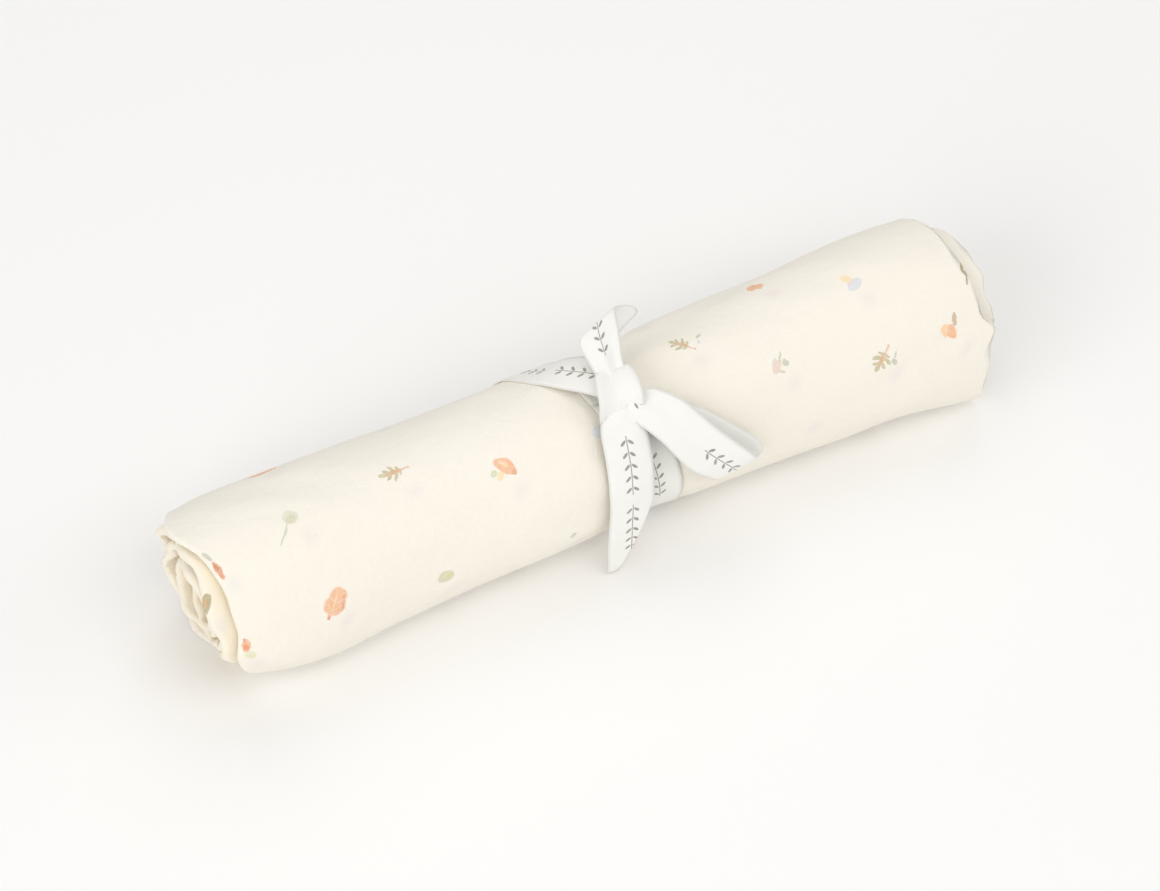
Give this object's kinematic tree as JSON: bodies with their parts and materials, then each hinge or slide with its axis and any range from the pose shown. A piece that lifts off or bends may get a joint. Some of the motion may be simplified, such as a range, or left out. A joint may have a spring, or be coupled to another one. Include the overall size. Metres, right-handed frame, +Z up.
{
  "type": "rolled swaddle blanket",
  "caption": "Soft printed muslin swaddle cloth folded into plies, rolled up as a log and tied round its middle with a ribbon bow.",
  "frame": {"origin": "the middle of the whole piece's footprint, on the surface that the roll rests on", "axes": "+X along the roll, away from the end whose layers show in the picture; -Y to the front, where the bow's tail hangs; +Z up"},
  "size_m": [0.3202, 0.076, 0.0844],
  "materials": {
    "muslin": "matt double muslin, cream with a small autumn print",
    "ribbon": "soft off-white woven ribbon"
  },
  "bodies": {
    "root": {"blanket_roll": "muslin", "ribbon_tie": "ribbon"}
  },
  "joints": []
}
